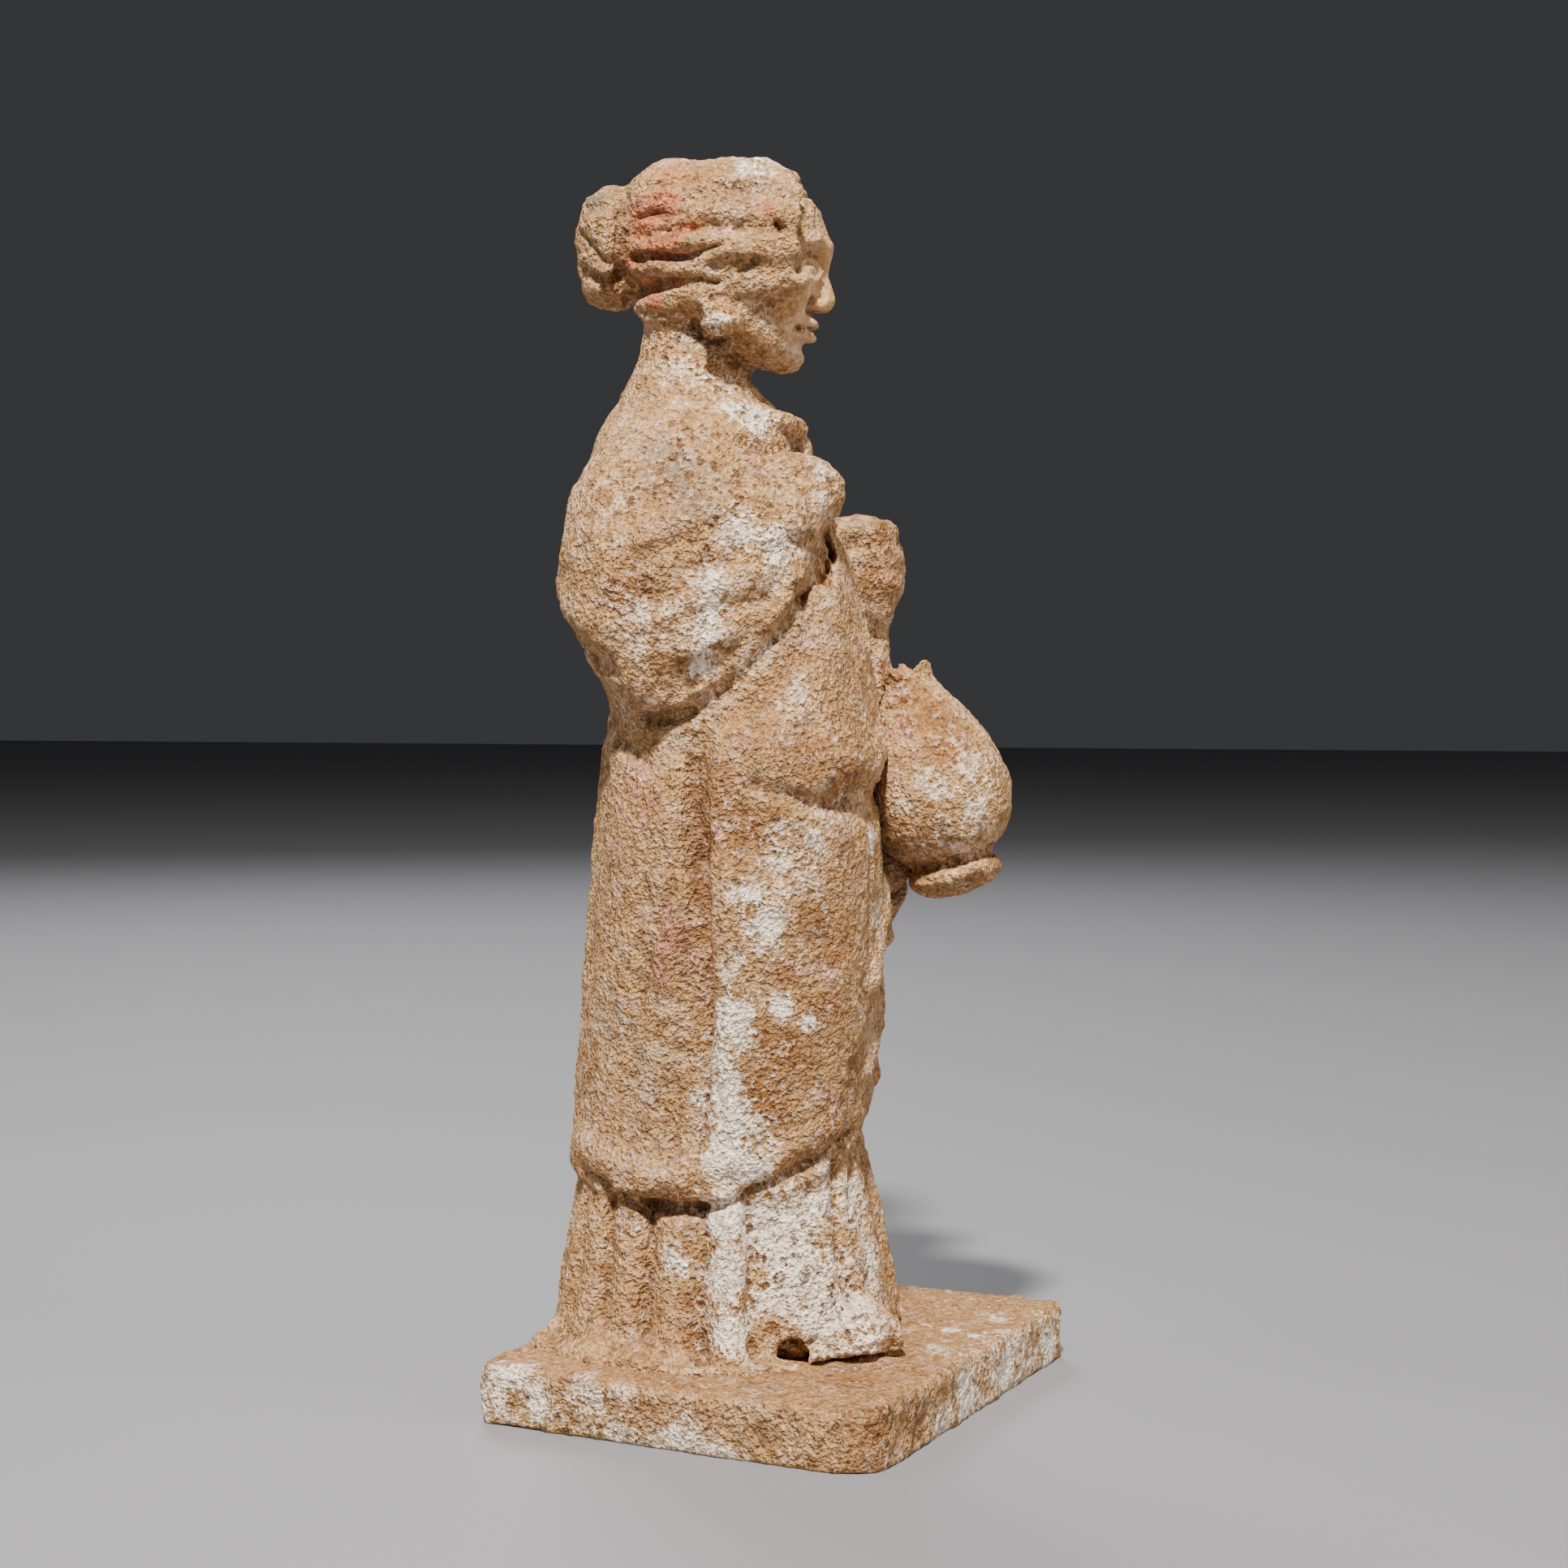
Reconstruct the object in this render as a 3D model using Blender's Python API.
# Standing woman in fired clay, wrapped in a mantle and carrying a jug, on her slab plinth.
# World frame: metres, +Z up, origin at the middle of the plinth's underside, front at -Y.
# The figure is worked in millimetres in her own frame: x to her left, y to her back, z up
# from her soles, and is then turned and set on the plinth.
import math

import bmesh
import bpy
from mathutils import Matrix, Vector

MM = 0.001

# Plinth
PLINTH_WIDTH = 75.4
PLINTH_DEPTH = 64.0
PLINTH_THICKNESS = 8.75
PLINTH_CORNER_RADIUS = 3.0
WORN_CORNER_RADIUS = 6.5
PLINTH_EDGE_ROUND = 1.1

# Figure: its proportions are shares of its height, drawn at 179 mm from sole to crown
FIGURE_HEIGHT = 179.0
DRAWN_HEIGHT = 179.0
BODY_TURN = 14.0
BODY_SET_BACK = 7.4
BODY_SET_RIGHT = 1.2
SLAB_BORDER = 0.6
HEAD_TURN = 7.0
HEAD_TILT = 4.0

# Jug
JUG_HEIGHT = 34.0
JUG_BELLY_RADIUS = 11.7
JUG_NECK_RADIUS = 4.0
JUG_FOOT_RADIUS = 7.4
JUG_FOOT_THICKNESS = 2.2
JUG_FOOT_BULGE = 2.0
JUG_WAIST_RADIUS = 6.0
JUG_TILT = 14.0
JUG_BREAK_DEPTH = 1.4

# Clearance between pieces that touch
SEAT_GAP = 0.3

SHARE = FIGURE_HEIGHT / DRAWN_HEIGHT
SEAT_HEIGHT = PLINTH_THICKNESS + SEAT_GAP
FIGURE_PLACE = (
    Matrix.Translation((-BODY_SET_RIGHT * SHARE, BODY_SET_BACK * SHARE, SEAT_HEIGHT))
    @ Matrix.Rotation(math.radians(BODY_TURN), 4, "Z")
    @ Matrix.Scale(SHARE, 4)
)
JUG_CENTRE = Vector((11.0, -28.4, 84.5))
JUG_PLACE = (
    Matrix.Translation(FIGURE_PLACE @ JUG_CENTRE)
    @ Matrix.Rotation(math.radians(BODY_TURN), 4, "Z")
    @ Matrix.Rotation(math.radians(-JUG_TILT), 4, "X")
)
HEAD_PLACE = (
    Matrix.Translation((0.0, 0.4, 162.6))
    @ Matrix.Rotation(math.radians(HEAD_TURN), 4, "Z")
    @ Matrix.Rotation(math.radians(HEAD_TILT), 4, "X")
)

VOXEL = 0.85 * SHARE * MM
KEPT_SHARE = 0.07


def clear_scene():
    for item in list(bpy.data.objects):
        bpy.data.objects.remove(item, do_unlink=True)


def clay(name, colour, roughness):
    material = bpy.data.materials.new(name)
    material.use_nodes = True
    shader = material.node_tree.nodes["Principled BSDF"]
    shader.inputs["Base Color"].default_value = (*colour, 1.0)
    shader.inputs["Roughness"].default_value = roughness
    shader.inputs["Metallic"].default_value = 0.0
    material.diffuse_color = (*colour, 1.0)
    return material


def finish(name, bm, material=None, guide=False):
    """Turn a mesh in millimetres into an object in metres."""
    bmesh.ops.scale(bm, vec=(MM, MM, MM), verts=bm.verts)
    bmesh.ops.recalc_face_normals(bm, faces=bm.faces)
    mesh = bpy.data.meshes.new(name)
    bm.to_mesh(mesh)
    bm.free()
    item = bpy.data.objects.new(name, mesh)
    bpy.context.scene.collection.objects.link(item)
    if material:
        mesh.materials.append(material)
    if guide:
        item.hide_render = True
        item.display_type = "WIRE"
    return item


def between(value, low, high):
    """0 below low, 1 above high, and a smooth rise between them."""
    t = min(1.0, max(0.0, (value - low) / (high - low)))
    return t * t * (3.0 - 2.0 * t)


def hump(value, centre, width):
    return math.exp(-((value - centre) / width) ** 2)


def turn_gap(angle, centre):
    """Signed difference between two angles in degrees."""
    return (angle - centre + 180.0) % 360.0 - 180.0


def smooth_row(stations, height):
    """The sizes of a section at a height, between the stations of a profile."""
    for low, high in zip(stations, stations[1:]):
        if height <= high[0]:
            t = (height - low[0]) / (high[0] - low[0])
            t = min(1.0, max(0.0, t))
            return [a + (b - a) * t for a, b in zip(low[1:], high[1:])]
    return list(stations[-1][1:])


def loft(bm, sections):
    """Skin closed rings of points, bottom to top, and cap both ends."""
    rings = []
    for section in sections:
        rings.append([bm.verts.new(point) for point in section])
    sides = len(rings[0])
    for low, high in zip(rings, rings[1:]):
        for k in range(sides):
            n = (k + 1) % sides
            bm.faces.new((low[k], low[n], high[n], high[k]))
    bm.faces.new(reversed(rings[0]))
    bm.faces.new(rings[-1])


def section_ring(row, height, squareness, relief, sides):
    """One ring of a draped body: depths at back and front, half width, and surface relief."""
    back, front, half_width, shift = row
    middle = (back + front) / 2.0
    half_depth = (back - front) / 2.0
    points = []
    for k in range(sides):
        turn = 360.0 * k / sides
        c = math.cos(math.radians(turn))
        s = math.sin(math.radians(turn))
        x = half_width * math.copysign(abs(c) ** (2.0 / squareness), c)
        y = half_depth * math.copysign(abs(s) ** (2.0 / squareness), s)
        reach = math.hypot(x, y)
        rise, lift = relief(turn, height)
        grow = (reach + rise) / reach
        points.append(Vector((shift + x * grow, middle + y * grow, height + lift)))
    return points


def blob(bm, centre, radii, place=Matrix.Identity(4), detail=3):
    matrix = place @ Matrix.Translation(centre) @ Matrix.Diagonal((*radii, 1.0))
    bmesh.ops.create_icosphere(bm, subdivisions=detail, radius=1.0, matrix=matrix)


def along(stops, t):
    """A point and radius on the smooth path through stops of (x, y, z, radius)."""
    last = len(stops) - 1
    at = min(last - 1e-6, max(0.0, t * last))
    k = int(at)
    f = at - k
    a = stops[max(0, k - 1)]
    b = stops[k]
    c = stops[k + 1]
    d = stops[min(last, k + 2)]
    result = []
    for p, q, r, s in zip(a, b, c, d):
        result.append(
            0.5
            * (
                2.0 * q
                + (r - p) * f
                + (2.0 * p - 5.0 * q + 4.0 * r - s) * f * f
                + (3.0 * q - p - 3.0 * r + s) * f**3
            )
        )
    return result


def chain(bm, stops, place=Matrix.Identity(4), sides=14):
    """A rounded limb, roll or lock: rings along a path, closed by a dome at each end."""
    length = sum((Vector(a[:3]) - Vector(b[:3])).length for a, b in zip(stops, stops[1:]))
    slimmest = min(stop[3] for stop in stops)
    count = max(4, int(length / (slimmest * 0.6)))
    samples = [along(stops, k / count) for k in range(count + 1)]
    spots = [Vector(sample[:3]) for sample in samples]
    sections = []
    for k, sample in enumerate(samples):
        ahead = (spots[min(count, k + 1)] - spots[max(0, k - 1)]).normalized()
        across = ahead.orthogonal() if k == 0 else (across - ahead * across.dot(ahead))
        across.normalize()
        other = ahead.cross(across)
        slides = [(0.0, 1.0)]
        if k == 0:
            slides = [(-math.cos(math.radians(t)), math.sin(math.radians(t))) for t in (12, 35, 62, 90)]
        if k == count:
            slides = [(math.cos(math.radians(t)), math.sin(math.radians(t))) for t in (90, 62, 35, 12)]
        for slide, share in slides:
            middle = spots[k] + ahead * slide * sample[3]
            ring = []
            for n in range(sides):
                turn = math.tau * n / sides
                spoke = across * math.cos(turn) + other * math.sin(turn)
                ring.append(place @ (middle + spoke * sample[3] * share))
            sections.append(ring)
    loft(bm, sections)


# Rows of a profile: height, back, front, half width, sideways shift
SKIRT_ROWS = (
    (-2.0, 30.0, -24.0, 25.5, 0.0),
    (0.5, 28.6, -24.6, 24.8, 0.0),
    (4.0, 27.0, -24.4, 23.8, 0.0),
    (11.5, 25.8, -22.8, 22.6, 0.0),
    (21.5, 24.0, -20.6, 21.2, 0.0),
    (30.0, 22.0, -18.4, 20.4, 0.0),
    (46.0, 19.0, -15.0, 18.0, 0.0),
)
MANTLE_ROWS = (
    (23.4, 24.4, -20.0, 23.4, 0.0),
    (36.5, 24.0, -20.6, 23.8, 0.0),
    (49.0, 22.8, -21.6, 24.0, 0.0),
    (67.0, 21.4, -22.1, 24.2, 0.0),
    (84.0, 20.0, -21.9, 23.8, 0.0),
    (92.0, 19.2, -21.9, 22.6, 0.0),
    (98.0, 18.4, -21.0, 21.6, 0.0),
    (106.0, 19.6, -19.3, 21.4, 0.0),
    (115.0, 21.4, -17.4, 22.8, 0.0),
    (124.0, 22.0, -14.8, 23.6, 0.0),
    (131.0, 22.4, -11.4, 20.6, 0.6),
    (136.0, 21.2, -8.8, 18.0, 1.0),
    (140.0, 19.0, -6.4, 13.8, 0.8),
    (144.0, 16.6, -2.4, 10.8, 0.4),
    (148.0, 14.6, 0.2, 8.8, 0.2),
    (156.0, 13.6, 0.0, 7.8, 0.0),
)
SKIRT_PLEATS = 21
PLEAT_DEPTH = 1.7
HEM_RISE = 14.0
SIDES = 144


def skirt_relief(turn, height):
    """Upright pleats with narrow grooves, and the clay smeared out over the plinth."""
    phase = abs(math.sin(math.radians(turn * SKIRT_PLEATS / 2.0 + 14.0)))
    depth = PLEAT_DEPTH * (0.35 + 0.65 * between(height, 0.0, 9.0))
    broad = 1.0 - 0.75 * hump(turn_gap(turn, 226.0), 0.0, 17.0)
    pleat = depth * broad * (phase**0.55 - 0.75)
    bold = 2.6 * math.sqrt(hump(turn_gap(turn, 186.0), 0.0, 6.4)) * between(height, -3.0, 2.0)
    return pleat + bold, 0.0


def mantle_relief(turn, height):
    """The curved hem, the long side fold, the panel behind it and slack folds in front."""
    side = turn_gap(turn, 176.5)
    low = between(height, 24.0, 34.0) * (1.0 - between(height, 84.0, 96.0))
    groove = -1.5 * hump(side, 0.0, 3.2) * low
    ridge = 0.9 * hump(side, 7.5, 5.0) * low
    behind_groove = hump(turn_gap(turn, 158.0), 0.0, 4.0)
    panel = -0.9 * behind_groove * low * (1.0 - between(height, 66.0, 80.0))
    legs = 0.9 * math.cos(math.radians(2.0 * turn_gap(turn, 232.0))) * low
    back = 0.5 * math.sin(math.radians(turn * 9.0)) * hump(turn_gap(turn, 90.0), 0.0, 50.0) * low
    left = 0.8 * math.sin(math.radians(turn * 11.0)) * hump(turn_gap(turn, 10.0), 0.0, 55.0) * low
    sag = 0.06 * abs(turn_gap(turn, 250.0))
    pouch = hump(height, 86.5 + sag, 3.2) - hump(height, 80.5 + sag, 2.6)
    swag = 1.4 * hump(turn_gap(turn, 262.0), 0.0, 42.0) * pouch
    lip = 0.8 * hump(height, 25.0, 4.0)
    front_left = hump(turn_gap(turn, 305.0), 0.0, 58.0)
    behind = 2.4 * hump(turn_gap(turn, 95.0), 0.0, 40.0)
    lift = (HEM_RISE * front_left + behind) * (1.0 - between(height, 24.5, 60.0))
    return groove + ridge + panel + legs + back + left + swag + lip, lift


def profile_loft(bm, rows, relief, squareness, step):
    low = rows[0][0]
    high = rows[-1][0]
    count = round((high - low) / step)
    sections = []
    for k in range(count + 1):
        height = low + (high - low) * k / count
        row = smooth_row(rows, height)
        sections.append(section_ring(row, height, squareness, relief, SIDES))
    loft(bm, sections)


def add_drapery(bm):
    profile_loft(bm, SKIRT_ROWS, skirt_relief, 2.6, 2.0)
    profile_loft(bm, MANTLE_ROWS, mantle_relief, 2.3, 2.0)


def add_right_arm(bm):
    """The arm wrapped in the mantle, bent up to the chest."""
    shoulder_to_elbow = [
        (-9.0, 9.6, 128.6, 11.0),
        (-13.0, 11.2, 121.0, 12.4),
        (-15.5, 10.2, 112.0, 12.2),
        (-16.5, 8.0, 105.0, 10.8),
    ]
    elbow_to_hand = [
        (-17.0, 7.4, 104.4, 10.2),
        (-17.0, 1.3, 109.4, 9.4),
        (-14.0, -5.6, 118.0, 7.6),
        (-9.5, -10.6, 124.2, 5.8),
        (-6.0, -14.6, 127.2, 3.7),
    ]
    chain(bm, shoulder_to_elbow, sides=24)
    chain(bm, elbow_to_hand, sides=24)
    blob(bm, (-5.0, 7.0, 120.0), (16.0, 15.4, 17.0))
    blob(bm, (-8.0, -2.0, 122.0), (11.0, 11.5, 11.0))
    for offset, reach in ((0.0, 1.0), (6.0, 0.9), (12.0, 0.8)):
        chain(bm, [
            (-20.0, 14.0 * reach + 3.0, 104.0 + offset, 2.6),
            (-25.6, 6.0, 107.5 + offset, 2.6),
            (-22.2, -1.5, 113.5 + offset * 0.8, 2.2),
            (-14.6, -8.6, 120.5 + offset * 0.5, 1.6),
        ])


def add_left_arm(bm):
    """The far arm, its forearm forward, the fist and what is left of the jug's handle."""
    chain(bm, [(8.0, 7.0, 129.0, 9.6), (13.5, 8.0, 120.0, 10.8), (16.5, 5.0, 111.0, 9.5)], sides=24)
    chain(bm, [(17.0, 3.0, 112.5, 9.5), (15.6, -8.0, 115.5, 8.2), (14.2, -13.0, 116.2, 7.4)], sides=24)
    blob(bm, (6.0, 6.0, 119.0), (15.0, 15.6, 17.0))
    blob(bm, (13.6, -15.6, 116.6), (7.0, 8.4, 8.4))
    for z, y in ((120.6, -20.6), (117.0, -21.4), (113.4, -21.2), (109.8, -19.6)):
        chain(bm, [(8.2, y + 5.0, z, 2.0), (11.0, y, z, 2.3), (16.0, y + 0.4, z, 2.2)])
    chain(bm, [(12.8, -17.4, 111.0, 3.2), (12.6, -17.0, 104.5, 2.2)])


def add_hanging_folds(bm):
    """The mantle's end, hung over the left forearm in layered zigzag folds."""
    for k, tip in enumerate((62.5, 54.0, 50.0, 58.0)):
        x = 12.5 + 3.6 * k
        y = -20.6 + 5.1 * k
        chain(bm, [
            (x + 1.0, y + 3.0, 110.0, 3.2),
            (x + 2.4, y + 1.2, 90.0, 3.6),
            (x + 1.6, y - 0.8, tip + 8.0, 3.8),
            (x, y, tip, 2.0),
        ])


def add_neck_roll(bm):
    """The rolled edge of the mantle round the neck, sunk behind and dipping in front."""
    stops = []
    for k in range(13):
        turn = math.radians(90.0 + 360.0 * k / 12.0)
        ahead = 0.5 - 0.5 * math.sin(turn)
        x = (8.0 + 1.6 * ahead) * math.cos(turn)
        y = 4.4 + 9.4 * math.sin(turn) - 3.2 * ahead**3
        stops.append((x, y, 145.0 - 7.8 * ahead, 1.4 + 0.7 * ahead))
    chain(bm, stops)
    chain(bm, [(11.0, 3.0, 137.5, 4.6), (8.0, -4.4, 135.0, 4.8), (3.0, -7.6, 133.4, 4.0)])


def add_feet(bm):
    """The tips of the shoes under the hem."""
    for x, ahead in ((-12.5, -1.4), (9.0, 3.0)):
        instep = (x - 0.4, -19.0 + ahead, 4.4, 4.6)
        toes = (x - 0.8, -23.2 + ahead, 3.6, 3.4)
        chain(bm, [(x, -12.0, 5.0, 4.6), instep, toes])
        chain(bm, [(x, -12.0, 2.2, 2.0), (x - 0.8, -25.2 + ahead, 2.2, 2.0)])
        chain(bm, [(x - 4.0, -12.0, 2.2, 1.8), (x - 4.2, -22.4 + ahead, 2.2, 1.8)])
        chain(bm, [(x + 4.0, -12.0, 2.2, 1.8), (x + 3.0, -23.0 + ahead, 2.2, 1.8)])


def add_face(bm):
    """A calm, plain face on schoolbook thirds: hairline to brow, brow to nose, nose to chin."""
    blob(bm, (0.0, -2.6, -4.6), (9.4, 9.6, 11.6), HEAD_PLACE)
    blob(bm, (0.0, -7.6, -12.6), (4.6, 4.0, 3.8), HEAD_PLACE)
    chain(bm, [(0.0, -11.4, 0.8, 1.2), (0.0, -13.0, -3.2, 1.4), (0.0, -13.8, -5.6, 1.6)], HEAD_PLACE)
    for side in (-1.0, 1.0):
        jaw = [(side * 8.0, 0.0, -7.0, 4.4), (side * 5.6, -5.0, -11.0, 4.0), (0.0, -8.0, -13.0, 3.6)]
        brow = [(side * 1.4, -11.4, 1.6, 1.1), (side * 4.6, -10.6, 2.5, 1.3), (side * 7.4, -8.0, 1.4, 1.3)]
        chain(bm, jaw, HEAD_PLACE)
        chain(bm, brow, HEAD_PLACE)
        blob(bm, (side * 4.1, -9.6, -0.9), (2.5, 1.9, 1.5), HEAD_PLACE, 2)
        blob(bm, (side * 1.5, -12.2, -5.9), (1.3, 1.4, 1.1), HEAD_PLACE, 2)
        blob(bm, (side * 5.0, -7.2, -5.4), (4.0, 4.0, 4.2), HEAD_PLACE)
        chain(bm, [(0.0, -11.9, -8.6, 0.9), (side * 2.7, -10.8, -8.9, 0.7)], HEAD_PLACE)
        chain(bm, [(0.0, -11.5, -10.2, 1.0), (side * 2.3, -10.6, -9.8, 0.7)], HEAD_PLACE)


def add_hair(bm):
    """Hair drawn back in twisted locks to a knot, with ear rings under it."""
    blob(bm, (0.0, 1.0, 1.4), (12.4, 15.2, 14.4), HEAD_PLACE)
    blob(bm, (0.0, 8.8, 6.2), (10.4, 9.2, 8.8), HEAD_PLACE)
    locks = 5
    for side in (-1.0, 1.0):
        for k in range(locks):
            f = k / (locks - 1.0)
            rise = math.radians(-26.0 + 94.0 * f)
            c = math.cos(rise)
            s = math.sin(rise)
            stops = []
            for step in range(6):
                t = step / 5.0
                y = -10.4 + 3.0 * f + (24.0 - 3.0 * f) * t
                belly = math.sqrt(max(0.08, 1.0 - ((y - 1.0) / 16.2) ** 2))
                drop = 1.0 - 0.5 * t * t
                wave = 0.5 * math.sin(5.0 * math.pi * t + k)
                x = side * (12.2 * belly * (c * drop + 0.12))
                z = 1.0 + (13.6 * belly + wave) * s * drop - 1.0 * t
                stops.append((x, y, z, 2.3 - 0.5 * t))
            chain(bm, stops, HEAD_PLACE)
        blob(bm, (side * 10.4, 0.4, -9.6), (2.6, 3.6, 2.3), HEAD_PLACE, 2)
        chain(bm, [(side * 9.6, 4.0, -7.0, 2.6), (side * 6.0, 10.6, -8.6, 2.6)], HEAD_PLACE)
    blob(bm, (0.0, 18.6, 2.8), (6.8, 5.8, 8.0), HEAD_PLACE)
    blob(bm, (0.6, 18.0, -4.4), (5.2, 4.8, 3.2), HEAD_PLACE)
    for k in range(4):
        z = -2.0 + 3.0 * k
        wide = 6.4 * math.sqrt(1.0 - ((z - 2.6) / 10.5) ** 2)
        coil = [(-wide, 18.0, z - 1.2, 1.6), (0.0, 22.8, z, 1.8), (wide, 18.0, z + 1.2, 1.6)]
        chain(bm, coil, HEAD_PLACE)


def jug_profile(grow):
    """Radius and height pairs up the jug, foot to broken neck, thickened by grow."""
    foot = -JUG_HEIGHT / 2.0
    top = JUG_HEIGHT / 2.0
    waist = foot + JUG_FOOT_THICKNESS * 1.6
    rise = top - waist
    belly = JUG_BELLY_RADIUS
    stops = (
        (JUG_WAIST_RADIUS, waist),
        (0.86 * belly, waist + 0.13 * rise),
        (belly, waist + 0.34 * rise),
        (0.88 * belly, waist + 0.56 * rise),
        (0.60 * belly, waist + 0.76 * rise),
        (JUG_NECK_RADIUS, waist + 0.92 * rise),
        (JUG_NECK_RADIUS, top),
    )
    points = [(0.0, foot - JUG_FOOT_BULGE - grow)]
    points.append((JUG_FOOT_RADIUS * 0.45 + grow, foot - 0.85 * JUG_FOOT_BULGE - grow))
    points.append((JUG_FOOT_RADIUS * 0.80 + grow, foot - 0.35 * JUG_FOOT_BULGE - grow))
    points.append((JUG_FOOT_RADIUS + grow, foot + JUG_FOOT_THICKNESS * 0.4))
    points.append((JUG_FOOT_RADIUS * 0.97 + grow, foot + JUG_FOOT_THICKNESS + grow))
    steps = 14
    for k in range(steps + 1):
        radius, height = along(stops, k / steps)
        points.append((radius + grow, height))
    crest = top + (JUG_BREAK_DEPTH + grow if grow else 0.0)
    points.append((JUG_NECK_RADIUS + grow, crest))
    points.append((0.0, crest - 0.8 * JUG_BREAK_DEPTH))
    return points


def jug_body(grow, broken):
    """Turn the profile on the jug's axis, its neck snapped off unevenly when broken."""
    bm = bmesh.new()
    sides = 32
    verts = [bm.verts.new((radius, 0.0, height)) for radius, height in jug_profile(grow)]
    edges = [bm.edges.new(pair) for pair in zip(verts, verts[1:])]
    bmesh.ops.spin(
        bm, geom=verts + edges, cent=(0.0, 0.0, 0.0), axis=(0.0, 0.0, 1.0),
        angle=math.tau, steps=sides, use_merge=True,
    )
    bmesh.ops.remove_doubles(bm, verts=bm.verts, dist=0.001)
    if broken:
        rim = JUG_HEIGHT / 2.0 - 0.5
        for vert in bm.verts:
            if vert.co.z > rim and math.hypot(vert.co.x, vert.co.y) > 1.0:
                turn = math.atan2(vert.co.y, vert.co.x)
                jag = 0.6 * math.sin(3.0 * turn + 0.7) + 0.4 * math.sin(5.0 * turn)
                vert.co.z += JUG_BREAK_DEPTH * jag
    bmesh.ops.transform(bm, matrix=JUG_PLACE, verts=bm.verts)
    return bm


def cut(item, cutter, name):
    modifier = item.modifiers.new(name, "BOOLEAN")
    modifier.operation = "DIFFERENCE"
    modifier.solver = "EXACT"
    modifier.object = cutter


def keep_on_slab(bm):
    """Press the back of the skirt in, so that it stops just short of the slab's back edge."""
    limit = PLINTH_DEPTH / 2.0 - SLAB_BORDER
    ease = 3.0
    for vert in bm.verts:
        beyond = vert.co.y - (limit - ease)
        if beyond > 0.0:
            vert.co.y = limit - ease * math.exp(-beyond / ease)


def make_figure(material):
    bm = bmesh.new()
    add_drapery(bm)
    add_right_arm(bm)
    add_left_arm(bm)
    add_hanging_folds(bm)
    add_neck_roll(bm)
    add_feet(bm)
    add_face(bm)
    add_hair(bm)
    bmesh.ops.transform(bm, matrix=FIGURE_PLACE, verts=bm.verts)
    keep_on_slab(bm)
    item = finish("figure", bm, material)
    fuse = item.modifiers.new("fuse", "REMESH")
    fuse.mode = "VOXEL"
    fuse.voxel_size = VOXEL
    soften = item.modifiers.new("soften", "SMOOTH")
    soften.factor = 0.5
    soften.iterations = 3
    thin = item.modifiers.new("thin", "DECIMATE")
    thin.ratio = KEPT_SHARE
    cut(item, make_seat_cutter(), "seat")
    cut(item, make_jug_cutter(), "jug bed")
    cut(item, make_notch_cutter(), "notch")
    return item


def make_seat_cutter():
    """Everything below the figure's flat underside."""
    bm = bmesh.new()
    depth = 20.0
    place = Matrix.Translation((0.0, 0.0, SEAT_HEIGHT - depth / 2.0))
    size = Matrix.Diagonal((2.0 * FIGURE_HEIGHT, 2.0 * FIGURE_HEIGHT, depth, 1.0))
    bmesh.ops.create_cube(bm, size=1.0, matrix=place @ size)
    return finish("seat_cutter", bm, guide=True)


def make_jug_cutter():
    return finish("jug_cutter", jug_body(SEAT_GAP, False), guide=True)


def make_notch_cutter():
    """The small arch between the side pleat and the right foot."""
    bm = bmesh.new()
    place = (
        FIGURE_PLACE
        @ Matrix.Translation((-24.0, -13.0, 0.0))
        @ Matrix.Rotation(math.radians(90.0), 4, "Y")
        @ Matrix.Diagonal((3.4, 2.4, 1.0, 1.0))
    )
    bmesh.ops.create_cone(
        bm, cap_ends=True, segments=16, radius1=1.0, radius2=1.0, depth=16.0, matrix=place
    )
    return finish("notch_cutter", bm, guide=True)


def make_jug(material):
    item = finish("jug", jug_body(0.0, True), material)
    item.data.shade_smooth()
    item.data.set_sharp_from_angle(angle=math.radians(40.0))
    return item


def make_plinth(material):
    """A slab with rounded upright corners, the front right one worn down most."""
    bm = bmesh.new()
    place = Matrix.Translation((0.0, 0.0, PLINTH_THICKNESS / 2.0))
    size = Matrix.Diagonal((PLINTH_WIDTH, PLINTH_DEPTH, PLINTH_THICKNESS, 1.0))
    bmesh.ops.create_cube(bm, size=1.0, matrix=place @ size)
    upright = [e for e in bm.edges if abs(e.verts[0].co.z - e.verts[1].co.z) > 1.0]
    worn = [e for e in upright if e.verts[0].co.x < 0.0 and e.verts[0].co.y < 0.0]
    sound = [e for e in upright if e not in worn]
    for edges, radius in ((worn, WORN_CORNER_RADIUS), (sound, PLINTH_CORNER_RADIUS)):
        bmesh.ops.bevel(
            bm, geom=edges, offset=radius, segments=5, profile=0.5, affect="EDGES", material=-1
        )
    rim = [e for e in bm.edges if min(v.co.z for v in e.verts) > PLINTH_THICKNESS - 0.001]
    bmesh.ops.bevel(
        bm, geom=rim, offset=PLINTH_EDGE_ROUND, segments=3, profile=0.5, affect="EDGES", material=-1
    )
    item = finish("plinth", bm, material)
    item.data.shade_smooth()
    item.data.set_sharp_from_angle(angle=math.radians(40.0))
    return item


def main():
    clear_scene()
    make_plinth(clay("plinth clay", (0.50, 0.35, 0.22), 0.92))
    make_jug(clay("jug clay", (0.56, 0.41, 0.28), 0.92))
    make_figure(clay("figure clay", (0.54, 0.38, 0.25), 0.92))


main()
